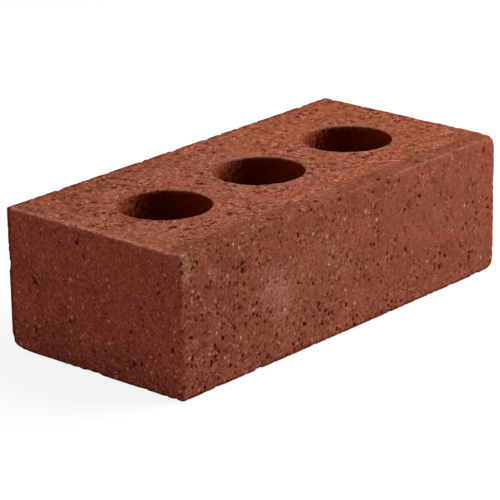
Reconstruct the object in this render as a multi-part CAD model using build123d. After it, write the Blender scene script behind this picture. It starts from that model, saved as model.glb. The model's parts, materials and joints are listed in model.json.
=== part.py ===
"""A perforated wirecut clay brick, one solid, in millimetres.

The clay column leaves the die standing on its bed face: the sides, their upright arrises and
the row of perforations run straight up, and the cutting wire makes the upper and lower bed
faces. +X runs along the length, +Y across the width and +Z up. The origin is the middle of
the lower bed face. The long face at -Y is the fair stretcher face, and -X is the fair header.
"""

from build123d import *
import os

# Work size of the fired brick
length = 215.0
width = 102.5
height = 65.0

# Perforations: a row of round holes on the long centre line, straight through
perforation_count = 3
perforation_diameter = 41.0
perforation_pitch = 61.5
perforation_rim_radius = 1.0

# Upright arrises, as the corners of the die leave them: the one between the fair faces is crisp
fair_arris_radius = 1.5
upright_arris_radius = 1.6

# Arrises round the bed faces: cut crisp by the wire above, and worn where the brick lay below
upper_arris_radius = 1.0
lower_arris_radius = 1.2

# Broken corners: how far each break reaches along the length, across the width and up
left_back_lower_along = 4.5
left_back_lower_across = 6.5
left_back_lower_up = 4.0
right_fair_lower_along = 5.0
right_fair_lower_across = 3.5
right_fair_lower_up = 3.5
right_fair_upper_along = 3.5
right_fair_upper_across = 5.0
right_fair_upper_up = 3.0

# Each break as the side it is on along X, Y and Z, and its reaches in the same order
corner_breaks = [
    ((-1, 1, -1), (left_back_lower_along, left_back_lower_across, left_back_lower_up)),
    ((1, -1, -1), (right_fair_lower_along, right_fair_lower_across, right_fair_lower_up)),
    ((1, -1, 1), (right_fair_upper_along, right_fair_upper_across, right_fair_upper_up)),
]


def column_section():
    """The outline that the die gives the clay column, with a crisp corner at the fair arris."""
    corners = Rectangle(length, width).vertices().sort_by(lambda corner: corner.X + corner.Y)
    softened = fillet(corners[1:], upright_arris_radius)
    fair_corner = softened.vertices().sort_by(lambda corner: corner.X + corner.Y)[0]
    return fillet(fair_corner, fair_arris_radius)


def solid_block():
    """The brick before it is perforated, with its arrises rounded all round."""
    column = extrude(column_section(), height)
    topped = fillet(column.faces().sort_by(Axis.Z)[-1].edges(), upper_arris_radius)
    return fillet(topped.faces().sort_by(Axis.Z)[0].edges(), lower_arris_radius)


def perforate(block):
    """Cuts the row of through holes and softens both rims of each."""
    hole = Cylinder(perforation_diameter / 2, height, align=(Align.CENTER, Align.CENTER, Align.MIN))
    pierced = block - [place * hole for place in GridLocations(perforation_pitch, 0, perforation_count, 1)]
    rims = pierced.edges().filter_by(GeomType.CIRCLE).filter_by(lambda edge: edge.is_closed)
    return fillet(rims, perforation_rim_radius)


def break_corner(block, sides, reaches):
    """Takes off one corner along the plane that meets its three edges at their reaches."""
    side_x, side_y, side_z = sides
    along, across, up = reaches
    outward = Vector(side_x / along, side_y / across, side_z / up)
    upright_edge = Vector(side_x * length / 2, side_y * width / 2, height / 2)
    end_of_break = upright_edge + Vector(0, 0, side_z * (height / 2 - up))
    return split(block, bisect_by=Plane(origin=end_of_break, z_dir=outward), keep=Keep.BOTTOM)


def make_brick():
    brick = perforate(solid_block())
    for sides, reaches in corner_breaks:
        brick = break_corner(brick, sides, reaches)
    return brick


os.makedirs("parts", exist_ok=True)
export_step(make_brick(), "parts/brick.step")
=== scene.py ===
"""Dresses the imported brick: its weathered body, its fired clay, and a plain studio round it.

Everything is in metres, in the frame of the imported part: +X along the length, +Y across the
width, +Z up, with the origin in the middle of the lower bed face.
"""

import json
import math
import random

import bmesh
import bpy
import numpy as np
from bpy.props import FloatProperty, FloatVectorProperty, IntProperty, PointerProperty
from bpy.types import Operator, Panel, PropertyGroup
from mathutils import Matrix, Vector, noise
from mathutils.kdtree import KDTree


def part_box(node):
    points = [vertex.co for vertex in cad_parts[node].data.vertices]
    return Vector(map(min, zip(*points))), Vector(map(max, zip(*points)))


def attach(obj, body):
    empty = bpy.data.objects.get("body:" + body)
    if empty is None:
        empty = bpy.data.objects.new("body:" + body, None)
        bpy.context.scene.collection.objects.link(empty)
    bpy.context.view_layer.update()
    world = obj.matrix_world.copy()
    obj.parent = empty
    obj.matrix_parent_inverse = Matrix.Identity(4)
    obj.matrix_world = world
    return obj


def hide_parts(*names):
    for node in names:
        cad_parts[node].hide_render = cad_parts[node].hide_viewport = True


bl_info = {
    "name": "Perforated brick",
    "version": (1, 0, 0),
    "blender": (4, 5, 0),
    "location": "View3D > Sidebar > Brick",
    "description": "Builds a weathered wirecut clay brick round its packed solid",
    "category": "Object",
}

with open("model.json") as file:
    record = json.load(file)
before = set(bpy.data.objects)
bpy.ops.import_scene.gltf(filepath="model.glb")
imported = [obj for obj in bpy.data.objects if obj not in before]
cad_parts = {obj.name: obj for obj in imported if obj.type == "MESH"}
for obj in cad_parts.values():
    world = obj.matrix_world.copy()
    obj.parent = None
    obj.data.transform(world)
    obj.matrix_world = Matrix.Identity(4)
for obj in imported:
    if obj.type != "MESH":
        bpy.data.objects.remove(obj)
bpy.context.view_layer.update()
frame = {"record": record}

MM = 0.001
SQUARE_CENTIMETRE = (10 * MM) ** 2
NODE = "brick"
BODY = "root"

low, high = (Vector(corner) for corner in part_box(NODE))
LENGTH, WIDTH, HEIGHT = high - low
BORES = [mount for mount in frame["record"]["mounts"] if mount["kind"] == "bore"]
BORE_RADIUS = BORES[0]["dims"]["r_mm"] * MM
BORE_CENTRES = [Vector(mount["pos_m"]) for mount in BORES]

# How far a point may lie from a place, and from a rim, that it is taken to be at
SLACK = 0.01 * MM
RIM_SLACK = 0.1 * MM

# The same sizes in millimetres, which the clay's finish counts in
HALF_LENGTH = LENGTH / 2 / MM
HALF_WIDTH = WIDTH / 2 / MM
TOP = HEIGHT / MM

# The way that the side of every perforation's wall facing the key lamp faces, where the painted shade reaches
# less deep, and the way that the opposite side faces, where a painted fill light reddens the wall
LAMP_FACING_SIDE = (0.78, -0.62, 0.0)
FILL_LIT_SIDE = (-0.665, 0.747, 0.0)

# The way from the middle of every perforation to the part of its rim with the strongest painted highlight, on
# the side towards the camera
HIGHLIGHT_SIDE = (-0.747, -0.665)

# Broken corners: the side of each along X, Y and Z, and how far it reaches along its edges in
# the same order, in millimetres
BREAKS = [
    ((-1, 1, -1), (4.5, 6.5, 4.0)),
    ((1, -1, -1), (5.0, 3.5, 3.5)),
    ((1, -1, 1), (3.5, 5.0, 3.0)),
]

# Each break is a few facets, and each facet stretches the reaches by these factors
FACETS = [(1, 1, 1), (1.4, 0.75, 0.8), (0.75, 1.4, 0.75), (0.8, 0.75, 1.4)]

# Pits that stand out on the fair stretcher: along the face, up it and radius, in millimetres
STRETCHER_PITS = [
    (50.7, 50.0, 1.5),
    (48.5, 46.0, 0.8),
    (-81.9, 21.4, 1.4),
    (-83.5, 23.5, 0.8),
    (65.9, 12.2, 1.4),
    (62.3, 12.0, 1.2),
    (69.9, 16.6, 1.3),
    (63.8, 9.0, 1.0),
    (-29.9, 12.4, 1.1),
    (-28.6, 10.6, 0.8),
    (-29.6, 8.6, 0.9),
    (-31.5, 8.0, 1.1),
    (-32.7, 10.0, 0.8),
    (-32.2, 12.2, 0.7),
    (-89.3, 11.8, 1.5),
    (-88.0, 14.5, 0.8),
    (-68.7, 48.2, 1.4),
    (-71.0, 50.2, 0.9),
    (-58.9, 7.0, 1.1),
    (-13.9, 21.0, 1.1),
    (-10.5, 12.0, 1.2),
    (-92.9, 26.8, 1.0),
    (-101.1, 17.8, 1.3),
    (-16.7, 9.0, 0.9),
    (49.3, 25.4, 1.0),
    (19.1, 49.0, 1.0),
    (24.0, 48.0, 0.8),
    (-3.9, 20.2, 1.1),
    (-7.1, 51.2, 0.9),
    (-32.9, 32.0, 1.2),
    (-56.1, 15.8, 1.0),
    (-27.1, 21.0, 0.8),
    (-73.4, 64.0, 1.0),
]

# The same on the fair header: across the face, up it and radius
HEADER_PITS = [
    (8.2, 57.8, 1.5),
    (9.9, 58.8, 0.9),
    (-6.4, 12.6, 1.1),
    (-11.1, 19.0, 1.0),
    (25.5, 12.4, 1.1),
    (35.2, 12.2, 1.2),
    (14.5, 21.0, 1.3),
    (-23.2, 10.4, 1.5),
    (-27.3, 11.2, 1.3),
    (-21.2, 8.4, 1.2),
    (-36.6, 8.2, 1.2),
    (35.2, 7.0, 1.0),
    (31.8, 7.4, 0.9),
    (25.0, 6.6, 1.1),
]

# Deeper tears that stand out on the upper bed: along, across and radius
BED_PITS = [
    (-64.8, -36.4, 1.1),
    (-61.5, -36.0, 0.9),
    (-67.0, -37.4, 0.8),
    (-89.0, -38.6, 1.1),
    (-91.5, -37.6, 0.9),
    (-86.5, -39.2, 0.9),
    (-92.0, -24.0, 1.0),
    (-13.5, 40.0, 1.1),
    (89.8, -21.7, 1.0),
    (91.8, -4.7, 1.0),
    (-31.5, -42.0, 0.9),
    (24.0, 28.0, 0.8),
    (61.0, 33.0, 0.9),
    (-83.0, 31.0, 0.9),
]

# Pale grains of grog that stand out on the fair stretcher and the fair header, in the same terms
STRETCHER_GRAINS = [
    (-1.7, 20.0),
    (56.5, 17.2),
    (20.3, 46.8),
    (-42.1, 22.6),
    (-90.7, 16.8),
    (-2.1, 53.0),
    (-74.7, 61.2),
    (-85.9, 25.0),
    (-12.7, 35.0),
    (84.1, 36.6),
    (-23.1, 51.8),
    (4.7, 12.0),
]
HEADER_GRAINS = [
    (-9.0, 16.6),
    (33.0, 14.4),
    (-9.0, 45.2),
    (40.7, 12.8),
    (13.7, 16.4),
    (-33.0, 16.4),
    (7.0, 16.2),
    (-9.0, 26.6),
]

# Pale grains in a row, left by a scrape at the right end of the upper bed: along and across
SCRAPE_GRAINS = [(93.9, -30.4), (95.4, -30.3), (96.9, -30.2), (98.4, -30.2), (99.9, -30.3)]

# Pinker patches of the upper bed: the middle of each and its reach along each axis
PINK_PATCHES = [
    ((-29.0, 31.0, TOP), (10.0, 9.0, 6.0)),
    ((-28.0, -27.0, TOP), (9.0, 7.0, 6.0)),
    ((-30.0, -2.0, TOP), (6.0, 12.0, 6.0)),
    ((-97.0, -20.0, TOP), (10.0, 24.0, 6.0)),
    ((-100.0, 42.0, TOP), (9.0, 9.0, 6.0)),
    ((-12.0, 24.0, TOP), (12.0, 5.0, 6.0)),
]

# Patches of pale bloom: the middle of each, its reach along each axis, and its strength
BLOOM_PATCHES = [
    ((-47.0, -HALF_WIDTH, 33.0), (14.0, 8.0, 16.0), 0.85),
    ((-43.0, -HALF_WIDTH, 24.0), (7.0, 5.0, 7.0), 0.7),
    ((-22.0, -HALF_WIDTH, 32.0), (36.0, 8.0, 28.0), 0.1),
    ((-9.5, -HALF_WIDTH, 40.0), (5.0, 5.0, 8.0), 0.4),
    ((-86.0, -HALF_WIDTH, 51.0), (7.0, 5.0, 6.0), 0.3),
    ((62.0, -HALF_WIDTH, 39.0), (7.0, 5.0, 7.0), 0.3),
    ((-30.0, 34.0, TOP), (13.0, 8.0, 4.0), 0.5),
    ((-8.0, -44.0, TOP), (16.0, 7.0, 8.0), 0.3),
]

# The sandy and the bruised patch at the top of the fair arris: the middle and the reach of each
SANDY_PATCH = ((-HALF_LENGTH, -HALF_WIDTH, 59.0), (12.0, 5.0, 13.0))
BRUISED_PATCH = ((-HALF_LENGTH, -HALF_WIDTH, 62.0), (4.0, 9.0, 9.0))

# A stretch of the left back arris that has no nick: its middle, and where the nicks begin again
SOUND_STRETCH = (-HALF_LENGTH, HALF_WIDTH, 14.0)
SOUND_REACH = (6.0 * MM, 12.0 * MM)

# How far each kind of wear, and each painted highlight, reaches from its edge: up to where it is whole, and
# where it ends.
# A broken corner's begins below the faces of its facets, so there the depths are negative
BORE_REACH = (0.2 * MM, 1.2 * MM)
ARRIS_REACH = (0.5 * MM, 2.8 * MM)
RIM_REACH = (0.5 * MM, 2.0 * MM)
CREST_REACH = (1.0 * MM, 2.6 * MM)
FAIR_CREST_REACH = (0.8 * MM, 2.0 * MM)
MOUTH_REACH = (1.5 * MM, 4.0 * MM)
WORN_REACH = (0.6 * MM, 2.2 * MM)
BREAK_DEPTH = (-1.2 * MM, -0.2 * MM)

# Half the width over which the smooth band fades into the torn bed
BAND_FADE = 3 * MM

# How far down the perforations the painted shade darkens their walls, on the side turned from the key lamp
# and on the side facing it, and how far down a painted fill light reddens them
SHADED_DEPTH = (0.3 * MM, 2.5 * MM)
LAMP_FACING_DEPTH = (0.8 * MM, 20 * MM)
FILL_LIT_DEPTH = (0.3 * MM, 1.6 * MM)

# The floor's side; the share of the light that it throws back, first as the brick gets it and then
# as the camera sees it; and how bright the camera sees it where nothing shades it
FLOOR_SIZE = 12
FLOOR_ALBEDO = 0.5
FLOOR_SEEN_ALBEDO = 0.22
FLOOR_SEEN_LEVEL = 1.06

# The key lamp's distance from the brick, and its radius
LAMP_AWAY = 0.9
LAMP_RADIUS = 0.36


class BrickForm(PropertyGroup):
    """The sizes of the body before it is worn."""

    fair_arris: FloatProperty(
        name="Fair arris", description="Radius of the crisp upright arris between the two fair faces",
        default=1.5 * MM, unit="LENGTH",
    )
    upright_arris: FloatProperty(
        name="Upright arris", description="Radius of the other upright arrises", default=1.6 * MM,
        unit="LENGTH",
    )
    upper_arris: FloatProperty(
        name="Upper arris", description="Radius of the arrises round the upper bed", default=1.0 * MM,
        unit="LENGTH",
    )
    lower_arris: FloatProperty(
        name="Lower arris", description="Radius of the arrises round the lower bed", default=1.2 * MM,
        unit="LENGTH",
    )
    rim: FloatProperty(
        name="Rim", description="Radius at the mouths of the perforations", default=0.9 * MM, unit="LENGTH"
    )
    band: FloatProperty(
        name="Smooth band", description="Width of the smeared band of the bed beside the fair face",
        default=9.5 * MM, unit="LENGTH",
    )
    grain: FloatProperty(
        name="Mesh grain", description="Spacing of the mesh while the wear is carved", default=0.62 * MM,
        unit="LENGTH",
    )
    triangles: IntProperty(
        name="Triangles", description="Triangles that the finished body keeps", default=190000
    )


class BrickWear(PropertyGroup):
    """How deep the surface is marked, and how often."""

    wave: FloatProperty(
        name="Wave", description="Depth of the slow unevenness of every face", default=0.3 * MM,
        unit="LENGTH",
    )
    tear: FloatProperty(
        name="Tear", description="Depth of the torn texture of the bed faces", default=0.5 * MM,
        unit="LENGTH",
    )
    skin: FloatProperty(
        name="Skin", description="Depth of the fine unevenness of every face", default=0.15 * MM,
        unit="LENGTH",
    )
    chip: FloatProperty(
        name="Chip", description="Depth of the small chips along the arrises", default=0.6 * MM,
        unit="LENGTH",
    )
    nick: FloatProperty(
        name="Nick", description="Depth of the few larger nicks in the arrises", default=1.0 * MM,
        unit="LENGTH",
    )
    fracture: FloatProperty(
        name="Fracture", description="Roughness of the broken corners", default=1.0 * MM, unit="LENGTH"
    )
    pit: FloatProperty(
        name="Pit", description="Depth of the deepest pits", default=1.0 * MM, unit="LENGTH"
    )
    pits_per_square: FloatProperty(
        name="Pit density", description="Scattered pits on each square centimetre of a side", default=0.7
    )
    seed: IntProperty(name="Seed", description="Choice of the scattered pits", default=7)


class BrickColours(PropertyGroup):
    """The colours of the fired clay, as linear values."""

    skin: FloatVectorProperty(
        name="Skin", description="Smooth sides", subtype="COLOR", size=3, default=(0.314, 0.082, 0.046)
    )
    header: FloatVectorProperty(
        name="Header", description="Ends, fired redder", subtype="COLOR", size=3,
        default=(0.393, 0.07, 0.039),
    )
    bed: FloatVectorProperty(
        name="Bed", description="Torn bed faces", subtype="COLOR", size=3, default=(0.349, 0.091, 0.04)
    )
    pink: FloatVectorProperty(
        name="Pink", description="Pinker grains of the bed faces", subtype="COLOR", size=3,
        default=(0.348, 0.101, 0.06),
    )
    # Painted shade: the walls of the perforations are darkened towards this colour below their mouths, as the
    # shade inside them would
    deep: FloatVectorProperty(
        name="Deep", description="Walls of the perforations, away from their mouths", subtype="COLOR",
        size=3, default=(0.058, 0.003, 0.001),
    )
    # Also the colour of a painted highlight on the mouths of the perforations, besides the bruised corner's
    # own colour
    lilac: FloatVectorProperty(
        name="Lilac", description="Polished mouths of the perforations and the bruised corner",
        subtype="COLOR", size=3, default=(0.32, 0.145, 0.115),
    )
    rose: FloatVectorProperty(
        name="Rose", description="Pale grains of the header", subtype="COLOR", size=3,
        default=(0.64, 0.19, 0.13),
    )
    sand: FloatVectorProperty(
        name="Sand", description="Sandy grains of the tan patch", subtype="COLOR", size=3,
        default=(0.62, 0.35, 0.21),
    )
    tan: FloatVectorProperty(
        name="Tan", description="Sandy patch at the crisp corner of the fair faces", subtype="COLOR", size=3,
        default=(0.38, 0.15, 0.077),
    )
    # Painted fill light: the colour that the side of the perforations' walls turned from the key lamp is
    # lifted to, below their mouths
    painted_fill: FloatVectorProperty(
        name="Painted fill", description="Redder side of the walls of the perforations", subtype="COLOR", size=3,
        default=(0.188, 0.020, 0.005),
    )
    throat: FloatVectorProperty(
        name="Throat", description="Walls of the perforations at their mouths", subtype="COLOR", size=3,
        default=(0.34, 0.076, 0.028),
    )
    # Also the colour of painted shade in the pits, in the crevices of the beds and along the foot and the
    # back edges, besides the dark clay of the specks and pits
    dark: FloatVectorProperty(
        name="Pit", description="Bottoms of the pits", subtype="COLOR", size=3,
        default=(0.115, 0.008, 0.002),
    )
    # Painted highlight: the light that the rounded arrises between the ends and the beds, and the right of
    # the fair arris, catch
    lip_highlight: FloatVectorProperty(
        name="Lip", description="Polished lips of the ends and of the perforations", subtype="COLOR", size=3,
        default=(0.50, 0.20, 0.15),
    )
    grog: FloatVectorProperty(
        name="Grog", description="Pale grains in the clay", subtype="COLOR", size=3,
        default=(0.67, 0.29, 0.205),
    )
    haze: FloatVectorProperty(
        name="Haze", description="Thin pale bloom of salts", subtype="COLOR", size=3,
        default=(0.43, 0.185, 0.13),
    )


class StudioSettings(PropertyGroup):
    """The camera, as solved from the edges of the brick, and the lamps."""

    azimuth: FloatProperty(
        name="Azimuth", description="Camera turn about Z", default=math.radians(-48.31), subtype="ANGLE"
    )
    elevation: FloatProperty(
        name="Elevation", description="Camera height angle", default=math.radians(19.34), subtype="ANGLE"
    )
    roll: FloatProperty(
        name="Roll", description="Camera roll", default=math.radians(-0.99), subtype="ANGLE"
    )
    distance: FloatProperty(
        name="Distance", description="Camera to the middle of the brick", default=1.2575, unit="LENGTH"
    )
    aside: FloatProperty(
        name="Aside", description="Camera shift to its left", default=4.46 * MM, unit="LENGTH"
    )
    below: FloatProperty(
        name="Below", description="Camera shift downwards", default=5.22 * MM, unit="LENGTH"
    )
    lens: FloatProperty(
        name="Lens", description="Focal length on a 36 mm frame, in millimetres", default=201.5
    )
    key: FloatProperty(
        name="Key", description="Light that the key lamp gives a face turned to it", default=0.76
    )
    ambient: FloatProperty(name="Ambient", description="Even light from all round", default=0.44)


def look_at_only(piece):
    """Makes the piece the one selected and active object."""
    bpy.ops.object.select_all(action="DESELECT")
    piece.select_set(True)
    bpy.context.view_layer.objects.active = piece


def matches(point, place):
    """Whether a point lies at a place, where None leaves an axis free."""
    return all(want is None or abs(have - want) < SLACK for have, want in zip(point, place))


def select_edges(piece, test):
    """In edit mode, selects the edges whose two ends both pass the test."""
    bpy.ops.mesh.select_mode(type="EDGE")
    bpy.ops.mesh.select_all(action="DESELECT")
    mesh = bmesh.from_edit_mesh(piece.data)
    for edge in mesh.edges:
        if all(test(end.co) for end in edge.verts):
            edge.select_set(True)
    bmesh.update_edit_mesh(piece.data)


def round_edges(piece, test, radius, segments):
    """In edit mode, bevels the edges that pass the test to a radius."""
    select_edges(piece, test)
    bpy.ops.mesh.bevel(offset=radius, segments=segments, affect="EDGES")


def apply_modifier(piece, name, kind, **settings):
    """Adds a modifier with its settings and applies it."""
    modifier = piece.modifiers.new(name, kind)
    for setting, value in settings.items():
        setattr(modifier, setting, value)
    look_at_only(piece)
    bpy.ops.object.modifier_apply(modifier=modifier.name)


def start_block(form):
    """A block of the solid's size with rounded arrises."""
    bpy.ops.object.select_all(action="DESELECT")
    bpy.ops.mesh.primitive_cube_add(size=1, location=(low + high) / 2)
    block = bpy.context.active_object
    block.name = "fired_body"
    block.data.name = "fired_body"
    block.scale = (LENGTH, WIDTH, HEIGHT)
    bpy.ops.object.transform_apply(location=True, rotation=True, scale=True)
    bpy.ops.object.mode_set(mode="EDIT")
    for x in (low.x, high.x):
        for y in (low.y, high.y):
            radius = form.fair_arris if x < 0 and y < 0 else form.upright_arris
            round_edges(block, lambda point: matches(point, (x, y, None)), radius, 5)
    for z, radius in ((high.z, form.upper_arris), (low.z, form.lower_arris)):
        round_edges(block, lambda point: matches(point, (None, None, z)), radius, 4)
    bpy.ops.object.mode_set(mode="OBJECT")
    return block


def pierce(block, form):
    """Cuts the perforations through the block and rounds their rims."""
    for centre in BORE_CENTRES:
        bpy.ops.object.select_all(action="DESELECT")
        bpy.ops.mesh.primitive_cylinder_add(
            vertices=96, radius=BORE_RADIUS, depth=2 * HEIGHT, location=(centre.x, centre.y, HEIGHT / 2)
        )
        cutter = bpy.context.active_object
        apply_modifier(block, "perforation", "BOOLEAN", operation="DIFFERENCE", object=cutter, solver="EXACT")
        bpy.data.objects.remove(cutter)
    bpy.ops.object.mode_set(mode="EDIT")
    for z in (low.z, high.z):
        round_edges(
            block,
            lambda point: abs(point.z - z) < SLACK and abs(bore_distance(point)) < RIM_SLACK,
            form.rim,
            3,
        )
    bpy.ops.object.mode_set(mode="OBJECT")


def bore_distance(point):
    """How far a point lies outside the wall of the nearest perforation."""
    return min(math.hypot(point.x - c.x, point.y - c.y) for c in BORE_CENTRES) - BORE_RADIUS


def break_planes():
    """A point and an outward direction for each facet of each broken corner."""
    planes = []
    for sides, reaches in BREAKS:
        corner = Vector((sides[0] * LENGTH / 2, sides[1] * WIDTH / 2, HEIGHT if sides[2] > 0 else 0))
        for stretch in FACETS:
            along, across, up = (reach * factor * MM for reach, factor in zip(reaches, stretch))
            outward = Vector((sides[0] / along, sides[1] / across, sides[2] / up)).normalized()
            planes.append((corner - Vector((0, 0, sides[2] * up)), outward))
    return planes


def break_corners(block):
    """Knocks off the broken corners, each with a few flat facets."""
    look_at_only(block)
    bpy.ops.object.mode_set(mode="EDIT")
    for place, outward in break_planes():
        bpy.ops.mesh.select_all(action="SELECT")
        bpy.ops.mesh.bisect(plane_co=place, plane_no=outward, use_fill=True, clear_outer=True)
    bpy.ops.object.mode_set(mode="OBJECT")


def read_points(piece, what="co"):
    """The mesh's points, or their normals, as rows of X, Y and Z."""
    values = np.empty(len(piece.data.vertices) * 3)
    piece.data.vertices.foreach_get(what, values)
    return values.reshape(-1, 3)


def ramp(values, start, end):
    """0 up to start and 1 past end, with a smooth way between."""
    share = np.clip((values - start) / (end - start), 0, 1)
    return share * share * (3 - 2 * share)


def store(piece, name, weights):
    """Keeps a weight for each point, as a group for modifiers and an attribute for the finish."""
    group = piece.vertex_groups.new(name=f"{name}_carving")
    # A group takes one weight for many points at a time, so the weights are rounded to levels
    levels = 64
    rounded = np.round(weights * levels).astype(int)
    for level in range(1, levels + 1):
        members = np.nonzero(rounded == level)[0]
        if len(members):
            group.add(members.tolist(), level / levels, "REPLACE")
    attribute = piece.data.attributes.new(name, "FLOAT", "POINT")
    attribute.data.foreach_set("value", weights.astype(np.float32))


def near(distances, reach):
    """1 up to the start of a reach and 0 past its end."""
    return 1 - ramp(distances, *reach)


def bore_offsets(points):
    """How far each point lies from the axis of its nearest perforation, along X and along Y."""
    offsets = np.array([(points[:, 0] - c.x, points[:, 1] - c.y) for c in BORE_CENTRES])
    closest = np.argmin(np.hypot(offsets[:, 0], offsets[:, 1]), axis=0)
    return offsets[closest, :, np.arange(len(points))]


def mark_faces(body, form):
    """Stores how far each point belongs to a bed, a perforation, an arris or a broken corner."""
    points = read_points(body)
    normals = read_points(body, "normal")
    lean = np.abs(normals[:, 2])
    from_end = LENGTH / 2 - np.abs(points[:, 0])
    from_face = WIDTH / 2 - np.abs(points[:, 1])
    from_bed = np.minimum(points[:, 2] - low.z, high.z - points[:, 2])
    from_fair = points[:, 1] - low.y
    offsets = bore_offsets(points)
    from_axis = np.hypot(offsets[:, 0], offsets[:, 1])
    from_bore = from_axis - BORE_RADIUS
    level = ramp(lean, 0.6, 0.95)

    band = near(from_fair, (form.band - BAND_FADE, form.band + BAND_FADE))
    band = band * level * (points[:, 2] > HEIGHT / 2)
    # Painted highlight along the arrises between the ends and the beds, and along the right part of the fair
    # arris
    crest = near(from_end * 0.8 + from_bed * 2, CREST_REACH)
    fair_crest = near(from_fair + from_bed * 2, FAIR_CREST_REACH) * ramp(points[:, 0], 0, 60 * MM)
    crest = np.maximum(crest, fair_crest * 0.6)
    # A painted highlight round the mouths of the perforations, strongest on the side towards the camera and
    # half as strong on the far side
    towards = offsets @ np.array(HIGHLIGHT_SIDE) / from_axis
    highlight_share = ramp(towards, 0.3, 0.85) + 0.5 * ramp(-towards, 0.3, 0.85)
    mouth_highlight = near(from_bore + from_bed * 2, MOUTH_REACH) * highlight_share
    worn = near(np.minimum(from_end, from_face), WORN_REACH)
    rubbed = np.maximum(mouth_highlight, np.maximum(crest, worn))
    store(body, "bed", level * (1 - 0.75 * band) * (1 - 0.85 * rubbed))
    store(body, "band", band)
    store(body, "crest", crest)
    store(body, "mouth_highlight", mouth_highlight)

    throat = near(from_bore, BORE_REACH) * (1 - ramp(lean, 0.5, 0.9))
    # Where painted shade darkens the walls of the perforations: soon below the mouths on the side turned from
    # the key lamp, slowly on the side it lights
    lamp_facing = ramp(normals @ np.array(LAMP_FACING_SIDE), 0.05, 1.0)
    shaded = ramp(from_bed, *SHADED_DEPTH) * (1 - lamp_facing) + ramp(from_bed, *LAMP_FACING_DEPTH) * lamp_facing
    # A painted fill light on the side of the walls turned from the key lamp
    painted_fill = ramp(normals @ np.array(FILL_LIT_SIDE), -0.3, 0.95)
    store(body, "throat", throat)
    # The mask of the painted shade on the walls of the perforations
    store(body, "bore", throat * shaded)
    store(body, "painted_fill", throat * ramp(from_bed, *FILL_LIT_DEPTH) * painted_fill)

    from_arris = np.sort([from_end, from_face, from_bed], axis=0)[1]
    from_sound = np.linalg.norm(points - np.array(SOUND_STRETCH) * MM, axis=1)
    arris = near(from_arris, ARRIS_REACH) * ramp(from_sound, *SOUND_REACH)
    rim = near(np.hypot(from_bore, from_bed), RIM_REACH) * 0.4
    store(body, "arris", np.maximum(arris, rim))
    broken = np.zeros(len(points))
    for place, outward in break_planes():
        depth = (points - np.array(place)) @ np.array(outward)
        broken = np.maximum(broken, ramp(depth, *BREAK_DEPTH))
    store(body, "broken", broken)


def side_places():
    """The four sides: the run of each, and where a point along it and up it lies."""
    return [
        (LENGTH, lambda along, up: Vector((along, low.y, up))),
        (WIDTH, lambda along, up: Vector((low.x, along, up))),
        (LENGTH, lambda along, up: Vector((along, high.y, up))),
        (WIDTH, lambda along, up: Vector((high.x, along, up))),
    ]


def ragged_pit(draw, place, along, up, radius):
    """One pit as a few small round ones that run together, taller than wide."""
    pits = [(place(along, up), 0.75 * radius)]
    for _ in range(4):
        aside = draw.uniform(-0.9, 0.9) * radius
        above = draw.uniform(-1.4, 1.4) * radius
        pits.append((place(along + aside, up + above), draw.uniform(0.4, 0.65) * radius))
    return pits


def chosen_pits(wear):
    """The pits that stand out on the two fair faces, and the deeper tears of the upper bed."""
    draw = random.Random(wear.seed + 1)
    pits = []
    for (_, place), marks in zip(side_places(), (STRETCHER_PITS, HEADER_PITS)):
        for along, up, radius in marks:
            pits += ragged_pit(draw, place, along * MM, up * MM, 0.75 * radius * MM)
    for along, across, radius in BED_PITS:
        pits += ragged_pit(
            draw, lambda x, y: Vector((x, y, high.z)), along * MM, across * MM, 0.8 * radius * MM
        )
    return pits


def scattered_pits(wear):
    """Seeded pits: in clusters and thicker low down on the sides, and all over the beds."""
    draw = random.Random(wear.seed)
    pits = []
    for run, place in side_places():
        wanted = int(run * HEIGHT / SQUARE_CENTIMETRE * wear.pits_per_square)
        while wanted > 0:
            along = draw.uniform(-run / 2, run / 2)
            up = draw.uniform(0, HEIGHT)
            lower = 1 - min(1, up / (HEIGHT / 2))
            cluster = noise.noise(place(along, up) / (14 * MM))
            if draw.random() < 0.3 + 0.4 * lower + 0.7 * cluster:
                pits += ragged_pit(draw, place, along, up, draw.triangular(0.5, 1.1, 0.6) * MM)
                wanted -= 1
    for z in (low.z, high.z):
        for _ in range(int(LENGTH * WIDTH / SQUARE_CENTIMETRE * wear.pits_per_square)):
            spot = Vector((draw.uniform(low.x, high.x), draw.uniform(low.y, high.y), z))
            pits.append((spot, draw.triangular(0.5, 1.2, 0.6) * MM))
    return pits


def mark_pits(body, wear):
    """Stores how deep each point lies in a pit, as a share of the deepest."""
    points = read_points(body)
    tree = KDTree(len(points))
    for index, point in enumerate(points):
        tree.insert(point, index)
    tree.balance()
    depth = np.zeros(len(points))
    deepest_radius = 1.1 * MM
    outline_bump = 0.9 * MM
    for spot, radius in scattered_pits(wear) + chosen_pits(wear):
        for place, index, gap in tree.find_range(spot, radius * 1.6):
            ragged = gap * (1 + 0.45 * noise.noise(place / outline_bump))
            share = min(1, radius / deepest_radius) * (1 - ragged / (radius * 1.4))
            depth[index] = max(depth[index], min(1, 1.7 * share))
    store(body, "pit", depth)


def cloud(name, size, depth, hard=False, stops=None):
    """A cloud texture for carving, where size is that of its largest lumps."""
    texture = bpy.data.textures.new(name, "CLOUDS")
    texture.noise_scale = size
    texture.noise_depth = depth
    texture.noise_basis = "IMPROVED_PERLIN"
    texture.noise_type = "HARD_NOISE" if hard else "SOFT_NOISE"
    if stops:
        texture.use_color_ramp = True
        elements = texture.color_ramp.elements
        for element, (position, value) in zip(elements, stops):
            element.position = position
            element.color = (value, value, value, 1)
    return texture


def carve(body, name, depth, group, texture=None):
    """Sinks the surface by up to the depth, as far as the group and the texture say."""
    settings = {"strength": -depth, "mid_level": 0, "vertex_group": f"{group}_carving" if group else ""}
    if texture:
        settings["texture"] = texture
    apply_modifier(body, name, "DISPLACE", **settings)


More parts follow.
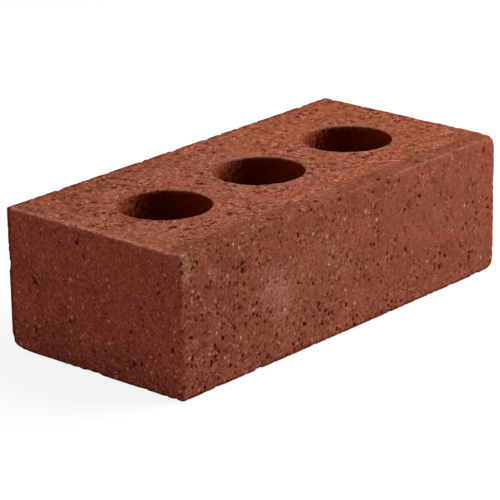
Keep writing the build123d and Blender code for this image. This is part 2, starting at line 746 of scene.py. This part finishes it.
def wear_down(body, wear):
    """Carves the waves, the torn beds, the chipped arrises, the fractures and the pits."""
    carve(body, "wave", wear.wave, "", cloud("wave", 30 * MM, 1))
    carve(body, "tear", wear.tear, "bed", cloud("tear", 2.2 * MM, 3, stops=[(0.36, 1), (0.6, 0)]))
    carve(body, "skin", wear.skin, "", cloud("skin", 2 * MM, 2))
    carve(body, "chip", wear.chip, "arris", cloud("chip", 3 * MM, 3, stops=[(0.52, 0), (0.8, 1)]))
    carve(body, "nick", wear.nick, "arris", cloud("nick", 8 * MM, 2, stops=[(0.58, 0), (0.78, 1)]))
    carve(body, "fracture", wear.fracture, "broken", cloud("fracture", 4 * MM, 3, hard=True))
    carve(body, "pits", wear.pit, "pit")


def make_body(form, wear):
    """The whole brick as one closed mesh."""
    body = start_block(form)
    pierce(body, form)
    break_corners(body)
    apply_modifier(body, "grain", "REMESH", mode="VOXEL", voxel_size=form.grain)
    mark_faces(body, form)
    mark_pits(body, wear)
    wear_down(body, wear)
    body.data.calc_loop_triangles()
    apply_modifier(
        body, "thin", "DECIMATE", ratio=min(1, form.triangles / len(body.data.loop_triangles))
    )
    body.vertex_groups.clear()
    look_at_only(body)
    bpy.ops.object.shade_smooth()
    return body


class Value:
    """One output of a node, so that shader maths reads as arithmetic."""

    def __init__(self, nodes, socket):
        self.nodes = nodes
        self.socket = socket

    def __add__(self, other):
        return self.nodes.maths("ADD", self, other)

    def __sub__(self, other):
        return self.nodes.maths("SUBTRACT", self, other)

    def __rsub__(self, other):
        return self.nodes.maths("SUBTRACT", other, self)

    def __mul__(self, other):
        return self.nodes.maths("MULTIPLY", self, other)

    __radd__ = __add__
    __rmul__ = __mul__


class Nodes:
    """The nodes of a material or of the world, added one by one."""

    def __init__(self, owner):
        owner.use_nodes = True
        self.tree = owner.node_tree
        self.tree.nodes.clear()

    def node(self, kind, settings=None, inputs=None):
        """Adds a node, sets it up, and then sets or links its inputs."""
        node = self.tree.nodes.new(kind)
        for setting, value in (settings or {}).items():
            setattr(node, setting, value)
        for name, value in (inputs or {}).items():
            if isinstance(value, Value):
                self.tree.links.new(value.socket, node.inputs[name])
            else:
                node.inputs[name].default_value = value
        return node

    def out(self, node, name):
        return Value(self, node.outputs[name])

    def maths(self, operation, first, second=0.0):
        return self.out(self.node("ShaderNodeMath", {"operation": operation}, {0: first, 1: second}), 0)

    def vector(self, operation, first, second=(0, 0, 0), result="Vector"):
        return self.out(
            self.node("ShaderNodeVectorMath", {"operation": operation}, {0: first, 1: second}), result
        )

    def largest(self, first, second):
        return self.maths("MAXIMUM", first, second)

    def step(self, value, start, end):
        """0 up to start and 1 past end, with a smooth way between, either way round."""
        ends = {"Value": value, "From Min": start, "From Max": end}
        return self.out(self.node("ShaderNodeMapRange", {"interpolation_type": "SMOOTHSTEP"}, ends), "Result")

    def blend(self, factor, first, second):
        """Colours mixed from the first to the second, each a value or three numbers."""
        ends = [end if isinstance(end, Value) else tuple(end) + (1,) for end in (first, second)]
        node = self.node("ShaderNodeMix", {"data_type": "RGBA"}, {0: factor, 6: ends[0], 7: ends[1]})
        return self.out(node, 2)

    def shade(self, colour, factor):
        """A colour made lighter or darker by a factor that varies."""
        return self.vector("MULTIPLY", colour, self.grey(factor))

    def grey(self, value):
        return self.out(self.node("ShaderNodeCombineXYZ", None, {0: value, 1: value, 2: value}), "Vector")

    def attribute(self, name):
        return self.out(self.node("ShaderNodeAttribute", {"attribute_name": name}), "Fac")

    def noise(self, place, size, detail=2.0, roughness=0.5):
        """Soft noise from 0 to 1, where size is in the units of the place."""
        inputs = {"Vector": place, "Scale": 1 / size, "Detail": detail, "Roughness": roughness}
        return self.out(self.node("ShaderNodeTexNoise", None, inputs), "Fac")

    def vary(self, place, size, amount, detail=2.0):
        """A factor that wanders round 1 by up to the amount."""
        return (self.noise(place, size, detail, 0.6) - 0.5) * (2 * amount) + 1

    def wander(self, place, size, reach):
        """The place moved about by up to the reach, so that marks on it get ragged outlines."""
        inputs = {"Vector": place, "Scale": 1 / size, "Detail": 1.0}
        drift = self.out(self.node("ShaderNodeTexNoise", None, inputs), "Color")
        drift = self.vector("SUBTRACT", drift, (0.5, 0.5, 0.5))
        return self.vector("ADD", place, self.vector("MULTIPLY", drift, (2 * reach,) * 3))

    def cells(self, place, size):
        """The gap to the nearest of a cloud of scattered points, and two chances of its own."""
        node = self.node("ShaderNodeTexVoronoi", None, {"Vector": place, "Scale": 1 / size})
        chance = self.node("ShaderNodeSeparateColor", None, {"Color": self.out(node, "Color")})
        return self.out(node, "Distance") * size, self.out(chance, "Red"), self.out(chance, "Green")

    def specks(self, place, size, radius, share):
        """A mask of specks on a share of the scattered points: mostly small and faint, a few strong."""
        gap, chance, other = self.cells(place, size)
        strong = other * other
        wide = strong * radius * 0.6 + radius * 0.6
        mask = self.step(gap, wide, wide * 0.6) * self.step(chance, 1 - share, 1 - share + 0.02)
        return mask * (strong * 0.7 + 0.3)

    def flecks(self, place, size, more):
        """A mask of small irregular flecks, of which there are more where the last value is high."""
        return self.step(self.noise(place, size, 2.0) + (more - 0.5) * 0.1, 0.61, 0.71)

    def tone(self, colour, amount, dark, pale):
        """A colour drawn towards the dark one where the amount is negative, and else the pale one."""
        lowered = self.blend(self.largest(amount * -1.0, 0.0), colour, dark)
        return self.blend(self.largest(amount, 0.0), lowered, pale)

    def patch(self, place, centre, radii):
        """A soft mask round a centre, 1 inside and 0 at the given distance along each axis."""
        offset = self.vector("DIVIDE", self.vector("SUBTRACT", place, centre), radii)
        return self.step(self.vector("LENGTH", offset, result="Value"), 1.0, 0.3)

    def nearest(self, place, centres):
        """The gap to the nearest of a few chosen centres."""
        gaps = [self.vector("DISTANCE", place, centre, result="Value") for centre in centres]
        closest = gaps[0]
        for gap in gaps[1:]:
            closest = self.maths("MINIMUM", closest, gap)
        return closest


class Marks:
    """What the parts of the clay's finish share: places in millimetres, and masks of the faces."""

    def __init__(self, clay):
        metres = clay.out(clay.node("ShaderNodeTexCoord"), "Object")
        self.place = clay.vector("MULTIPLY", metres, (1 / MM,) * 3)
        self.ragged = clay.wander(self.place, 0.9, 0.35)
        self.frayed = clay.wander(self.ragged, 0.7, 0.45)
        axes = clay.node("ShaderNodeSeparateXYZ", None, {"Vector": self.place})
        self.along, self.across, self.up = (clay.out(axes, name) for name in "XYZ")
        self.torn = clay.largest(clay.attribute("bed"), clay.attribute("broken") * 0.8)
        from_middle = clay.maths("ABSOLUTE", self.along)
        self.ends = clay.step(from_middle, HALF_LENGTH - 2.4, HALF_LENGTH - 1.0)


def side_skin(clay, at, colours):
    """The smooth skin of the sides: redder on the ends, and darker low on them and to the left."""
    skin = clay.blend(at.ends, colours.skin, colours.header)
    upright = clay.step(at.up, 40.0, 60.0) * 0.05 - clay.step(at.up, 20.0, 4.0) * 0.14
    skin = clay.shade(skin, 1 + upright * at.ends)
    to_the_left = clay.step(at.along, -60.0, -100.0) * 0.14
    return clay.shade(skin, clay.vary(at.place, 14.0, 0.35, 3.0) - to_the_left)


def bed_grains(clay, at, colours):
    """The torn grains of the beds, with their lumps, their roughness and the gaps between them."""
    gap, chance, other = clay.cells(at.ragged, 1.5)
    to_the_right = clay.step(at.along, 20.0, 60.0) * 0.2
    back_left = clay.step(at.across, 10.0, 40.0) * clay.step(at.along, 10.0, -40.0)
    pinker = clay.noise(at.place, 20.0) + (other - 0.5) * 0.2 - to_the_right - back_left * 0.26
    smoother = 0.0
    for centre, radii in PINK_PATCHES:
        smoother = clay.largest(clay.patch(clay.wander(at.place, 5.0, 3.0), centre, radii), smoother)
    grains = clay.blend(
        clay.largest(clay.step(pinker, 0.33, 0.68), smoother), colours.bed, colours.pink
    )
    duller = back_left * 0.16 + clay.step(at.along, 60.0, 95.0) * 0.07
    grains = clay.shade(grains, clay.vary(at.place, 16.0, 0.3) + clay.vary(at.place, 5.5, 0.5) - duller - 1)
    torn_more = clay.noise(at.place, 12.0) - clay.step(at.across, 0.0, 40.0) * 0.08 - to_the_right * 0.15
    rough = (clay.step(torn_more, 0.35, 0.6) * 0.8 + 0.6) * (1 - smoother * 0.4)
    lumps = clay.noise(clay.wander(at.place, 2.4, 1.4), 3.2, 4.0, 0.6)
    uneven = (0.5 - lumps) * 1.8 + (0.5 - clay.noise(at.ragged, 1.0)) * 1.6 + (chance - 0.5) * 0.15
    return clay.tone(grains, uneven * rough, colours.dark, colours.grog), lumps, rough, gap


def bloom_mask(clay, at):
    """Where the thin bloom of salts lies, dusty within its patches."""
    bloom = 0.0
    for centre, radii, strength in BLOOM_PATCHES:
        bloom = clay.patch(clay.wander(at.place, 6.0, 4.0), centre, radii) * strength + bloom
    dusty = clay.noise(clay.wander(at.place, 2.0, 1.0), 1.5, 3.0)
    return bloom * (clay.step(dusty, 0.4, 0.62) * 1.1 + 0.15)


def bruise_and_edge_light(clay, at, colour, colours):
    """The colour with the bruised corner, painted shade along the fair arris, and painted highlights on the
    arrises of the ends and the mouths of the perforations over it.
    """
    colour = clay.blend(clay.patch(at.place, *BRUISED_PATCH) * at.ends * 0.35, colour, colours.lilac)
    from_fair_arris = clay.maths("ABSOLUTE", at.across + HALF_WIDTH) + TOP - at.up
    # Painted shade along the fair arris, stronger to the left, to take back the light that its rounding
    # catches
    painted_arris_shade = clay.step(from_fair_arris, 1.8, 0.5)
    colour = clay.shade(colour, 1 - painted_arris_shade * (clay.step(at.along, 0.0, -50.0) * 0.1 + 0.12))
    # A painted highlight along those arrises
    lip_highlight = clay.attribute("crest") * clay.step(clay.noise(at.place, 3.0), 0.2, 0.7) * 0.75
    colour = clay.blend(lip_highlight, colour, colours.lip_highlight)
    # A painted highlight round the mouths of the perforations, strongest round the left ones
    mouth_highlight = clay.attribute("mouth_highlight") * clay.step(clay.noise(at.place, 3.0), 0.2, 0.6)
    return clay.blend(mouth_highlight * clay.step(at.along, -90.0, -20.0), colour, colours.lilac)


def crowding(clay, at, bloom):
    """How thick the specks are: in drifts, and thicker low down, to the left and in the bloom."""
    crowd = clay.step(clay.noise(at.place, 8.0, 3.0), 0.38, 0.62) + clay.step(at.up, 30.0, 6.0) * 0.3
    crowd = crowd - clay.step(at.along, -60.0, 50.0) * (1 - at.ends) * 0.28 - 0.03
    return crowd + bloom * 0.3 + clay.step(at.up, 48.0, 10.0) * at.ends * 0.2


def dark_marks(clay, at, crowd, lumps, rough):
    """A mask of the clay's dark specks, and of the pits and the crevices between the torn grains, whose
    darkness is partly dark clay and partly painted shade.
    """
    specks = clay.largest(
        clay.flecks(at.ragged, 1.4, crowd + 0.3) * 0.45,
        clay.specks(at.frayed, 2.4, 1.1, 0.5) * (crowd * 0.7 + 0.4),
    )
    # Partly painted shade in the pits, partly their dark clay
    pits = clay.step(clay.attribute("pit") + clay.noise(at.place, 0.8) * 0.5 - 0.25, 0.3, 0.55)
    marks = clay.largest(
        specks * (1 - at.ends * 0.15) * (1 - at.torn * 0.5),
        pits * (1 - at.ends * 0.1) * (1 - at.torn * 0.2),
    )
    # Partly painted shade in the crevices between the torn grains, partly their dark red clay
    crevices = clay.step(lumps + (rough - 1) * 0.09, 0.59, 0.69) * at.torn * 0.85
    return clay.largest(marks, crevices)


def pale_marks(clay, at, crowd, dark):
    """A mask of the pale grains that the dark marks leave: scattered ones, and the chosen few."""
    elsewhere = clay.vector("ADD", at.ragged, (40.0, 17.0, 23.0))
    beside = clay.vector("ADD", at.ragged, (0.5, 0.3, 0.6))
    apart = clay.vector("ADD", at.frayed, (7.0, 3.0, 5.0))
    pale = clay.largest(
        clay.flecks(elsewhere, 1.5, crowd + 0.3) * (0.35 - at.ends * 0.25),
        clay.specks(at.frayed, 2.7, 0.85, 0.4) * (crowd * 0.7 + 0.35),
    )
    pale = clay.largest(pale, clay.specks(beside, 2.7, 0.65, 0.5) * (crowd + 0.1) * 0.75)
    on_ends = at.ends * (clay.step(at.up, 52.0, 14.0) * 0.45 + 0.5)
    pale = clay.largest(pale, clay.specks(apart, 2.3, 1.1, 0.42) * on_ends)
    pale = pale * (1 - dark) * (1 + at.ends * 0.8)
    chosen = [(x, -HALF_WIDTH, z) for x, z in STRETCHER_GRAINS]
    chosen += [(-HALF_LENGTH, y, z) for y, z in HEADER_GRAINS]
    chosen += [(x, y, TOP - 0.5) for x, y in SCRAPE_GRAINS]
    from_chosen = clay.nearest(clay.wander(at.place, 0.9, 0.3), chosen)
    return clay.largest(pale, clay.step(from_chosen, 0.95, 0.5))


def sandy_corner(clay, at, dark, colour, colours):
    """The colour with the sandy patch over it, at the top of the arris between the fair faces."""
    corner = clay.patch(at.place, *SANDY_PATCH) * (1 - at.ends)
    colour = clay.blend(corner * 0.65 * (1 - dark), colour, colours.tan)
    grains = clay.flecks(clay.vector("ADD", at.ragged, (9.0, 31.0, 5.0)), 1.4, 1.2) * corner * 0.8
    return clay.blend(grains * (1 - dark), colour, colours.sand)


def painted_edge_shade(clay, at):
    """A mask of painted shade along the edges: a contact shade along the foot, and dark lines along the back
    and the right end of the bed.
    """
    foot = clay.step(at.up + clay.noise(at.place, 2.0) * 1.6, 3.2, 1.5) * 0.8
    wavy = clay.noise(at.place, 2.5)
    back = clay.step(at.across - wavy * 1.2, HALF_WIDTH - 3.9, HALF_WIDTH - 3.0)
    right = clay.step(at.along - wavy, HALF_LENGTH - 4.0, HALF_LENGTH - 2.5)
    return clay.largest(foot, clay.largest(back * (at.torn * -0.3 + 0.65), right * at.torn * 0.3))


def dark_walls(clay, at, colour, colours):
    """The colour with painted shade darkening the walls of the perforations below their mouths, ragged at its
    edge, and a painted fill light on their side turned from the key lamp.
    """
    bore = clay.attribute("bore")
    ragged = (clay.noise(at.place, 2.0) - 0.4) * bore * (1 - bore) * 7.0
    # Painted shade inside the perforations darkens their walls towards the deep colour
    colour = clay.blend(bore + ragged, colour, colours.deep)
    # A painted fill light reddens the side of the walls turned from the key lamp
    return clay.blend(clay.attribute("painted_fill"), colour, colours.painted_fill)


def fired_clay(colours):
    """The clay: smooth redder skin on the sides, torn granular beds, dark pits partly in painted shade, pale
    grog, and painted light and shade on the edges and in the perforations.
    """
    material = bpy.data.materials.new("fired_clay")
    clay = Nodes(material)
    at = Marks(clay)

    grains, lumps, rough, gap = bed_grains(clay, at, colours)
    colour = clay.blend(at.torn, side_skin(clay, at, colours), grains)
    smear = clay.step(clay.attribute("band") + clay.noise(at.place, 3.0, 3.0) - 0.5, 0.35, 0.6)
    colour = clay.shade(colour, 1 - 0.26 * smear)
    colour = clay.blend(clay.attribute("throat"), colour, colours.throat)
    fine = (clay.noise(at.ragged, 0.9) - 0.5) * 0.85 + (clay.noise(at.place, 2.4, 3.0) - 0.5) * 0.4
    colour = clay.tone(colour, fine * (1 - at.torn * 0.6 + at.ends * 0.6), colours.dark, colours.grog)

    bloom = bloom_mask(clay, at)
    colour = clay.blend(bloom, colour, colours.haze)
    colour = bruise_and_edge_light(clay, at, colour, colours)
    crowd = crowding(clay, at, bloom)
    dark = dark_marks(clay, at, crowd, lumps, rough)
    # The dark specks, and the pits and crevices partly in painted shade
    colour = clay.blend(dark, colour, colours.dark)
    colour = sandy_corner(clay, at, dark, colour, colours)
    pale = pale_marks(clay, at, crowd, dark)
    colour = clay.blend(pale, colour, clay.blend(at.ends, colours.grog, colours.rose))
    # Painted shade along the foot and the back and right edges
    colour = clay.blend(painted_edge_shade(clay, at), colour, colours.dark)
    colour = dark_walls(clay, at, colour, colours)

    drag = clay.noise(clay.vector("MULTIPLY", at.place, (1, 1, 0.12)), 0.8, 1.0) * (1 - at.torn)
    relief = clay.noise(at.place, 0.7, 2.0, 0.7) * (at.torn * 0.25 + 0.06) + drag * 0.04
    relief = relief - (lumps * 1.2 + gap * 0.15) * at.torn - dark * 0.4 + pale * 0.1
    bump = clay.node("ShaderNodeBump", None, {"Strength": 1.0, "Distance": MM, "Height": relief})
    inputs = {"Base Color": colour, "Roughness": 0.9, "Specular IOR Level": 0.0}
    inputs["Normal"] = clay.out(bump, "Normal")
    surface = clay.node("ShaderNodeBsdfPrincipled", None, inputs)
    clay.node("ShaderNodeOutputMaterial", None, {"Surface": clay.out(surface, "BSDF")})
    return material


class BRICK_OT_body(Operator):
    """Builds the brick's weathered body and gives it its fired clay"""

    bl_idname = "brick.body"
    bl_label = "Brick body"

    def execute(self, context):
        scene = context.scene
        body = make_body(scene.brick_form, scene.brick_wear)
        body.data.materials.clear()
        body.data.materials.append(fired_clay(scene.brick_colours))
        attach(body, BODY)
        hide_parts(NODE)
        return {"FINISHED"}


def studio_floor(studio):
    """A pale floor that reads white to the camera and keeps the brick's shadow."""
    bpy.ops.object.select_all(action="DESELECT")
    bpy.ops.mesh.primitive_plane_add(size=FLOOR_SIZE, location=(0, 0, 0))
    floor = bpy.context.active_object
    floor.name = "studio_floor"
    material = bpy.data.materials.new("studio_paper")
    paper = Nodes(material)
    path = paper.node("ShaderNodeLightPath")
    seen = paper.largest(paper.out(path, "Is Camera Ray"), paper.out(path, "Is Glossy Ray"))
    lit = FLOOR_SEEN_ALBEDO * (studio.ambient + studio.key * key_direction().z)
    shown = paper.grey(FLOOR_ALBEDO - seen * (FLOOR_ALBEDO - FLOOR_SEEN_ALBEDO))
    diffuse = paper.node("ShaderNodeBsdfDiffuse", None, {"Color": shown})
    glow = paper.node("ShaderNodeEmission", None, {"Strength": seen * (FLOOR_SEEN_LEVEL - lit)})
    shaders = {0: paper.out(diffuse, "BSDF"), 1: paper.out(glow, "Emission")}
    both = paper.node("ShaderNodeAddShader", None, shaders)
    paper.node("ShaderNodeOutputMaterial", None, {"Surface": paper.out(both, "Shader")})
    floor.data.materials.append(material)


def key_direction():
    """The way from the brick to the key lamp: to the right of the fair stretcher and above."""
    return Vector((0.52, -0.40, 0.70)).normalized()


def studio_lamps(studio):
    """One large soft key lamp, and even light from all round that the camera sees as white."""
    bpy.ops.object.select_all(action="DESELECT")
    bpy.ops.object.light_add(type="AREA", location=key_direction() * LAMP_AWAY)
    lamp = bpy.context.active_object
    lamp.name = "key_lamp"
    lamp.data.shape = "DISK"
    lamp.data.size = 2 * LAMP_RADIUS
    lamp.data.energy = studio.key * math.pi * math.pi * (LAMP_AWAY**2 + LAMP_RADIUS**2)
    lamp.rotation_euler = key_direction().to_track_quat("Z", "Y").to_euler()
    world = bpy.data.worlds.new("studio_world")
    bpy.context.scene.world = world
    sky = Nodes(world)
    seen = sky.out(sky.node("ShaderNodeLightPath"), "Is Camera Ray")
    levels = {"Value": seen, "To Min": studio.ambient, "To Max": 1.0}
    strength = sky.out(sky.node("ShaderNodeMapRange", None, levels), "Result")
    light = sky.node("ShaderNodeBackground", None, {"Color": (1, 1, 1, 1), "Strength": strength})
    sky.node("ShaderNodeOutputWorld", None, {"Surface": sky.out(light, "Background")})


def studio_camera(studio):
    """The camera at the viewing angle that the brick's edges give."""
    turn, rise, roll = studio.azimuth, studio.elevation, studio.roll
    back = Vector((math.sin(turn) * math.cos(rise), -math.cos(turn) * math.cos(rise), math.sin(rise)))
    level = Vector((0, 0, 1)).cross(back).normalized()
    upright = back.cross(level)
    right = math.cos(roll) * level + math.sin(roll) * upright
    up = math.cos(roll) * upright - math.sin(roll) * level
    place = (low + high) / 2 - studio.aside * right - studio.below * up + studio.distance * back
    bpy.ops.object.select_all(action="DESELECT")
    bpy.ops.object.camera_add()
    camera = bpy.context.active_object
    camera.name = "studio_camera"
    axes = Matrix((right, up, back)).transposed().to_4x4()
    camera.matrix_world = Matrix.Translation(place) @ axes
    camera.data.sensor_width = 36
    camera.data.lens = studio.lens
    camera.data.clip_start = 0.05
    bpy.context.scene.camera = camera


class BRICK_OT_studio(Operator):
    """Sets the floor, the lamps and the camera"""

    bl_idname = "brick.studio"
    bl_label = "Studio"

    def execute(self, context):
        studio = context.scene.brick_studio
        studio_floor(studio)
        studio_lamps(studio)
        studio_camera(studio)
        context.scene.view_settings.view_transform = "Standard"
        return {"FINISHED"}


class BRICK_PT_panel(Panel):
    bl_idname = "BRICK_PT_panel"
    bl_label = "Brick"
    bl_space_type = "VIEW_3D"
    bl_region_type = "UI"
    bl_category = "Brick"

    def draw(self, context):
        for group in (context.scene.brick_form, context.scene.brick_wear, context.scene.brick_colours):
            for name in group.__annotations__:
                self.layout.prop(group, name)
        self.layout.operator(BRICK_OT_body.bl_idname)
        for name in context.scene.brick_studio.__annotations__:
            self.layout.prop(context.scene.brick_studio, name)
        self.layout.operator(BRICK_OT_studio.bl_idname)


CLASSES = [BrickForm, BrickWear, BrickColours, StudioSettings, BRICK_OT_body, BRICK_OT_studio, BRICK_PT_panel]
SETTINGS = {
    "brick_form": BrickForm,
    "brick_wear": BrickWear,
    "brick_colours": BrickColours,
    "brick_studio": StudioSettings,
}


def register():
    for cls in CLASSES:
        bpy.utils.register_class(cls)
    for name, group in SETTINGS.items():
        setattr(bpy.types.Scene, name, PointerProperty(type=group))


def unregister():
    for name in SETTINGS:
        delattr(bpy.types.Scene, name)
    for cls in reversed(CLASSES):
        bpy.utils.unregister_class(cls)


def main():
    register()
    bpy.ops.brick.body()
    bpy.ops.brick.studio()


if __name__ == "__main__":
    main()
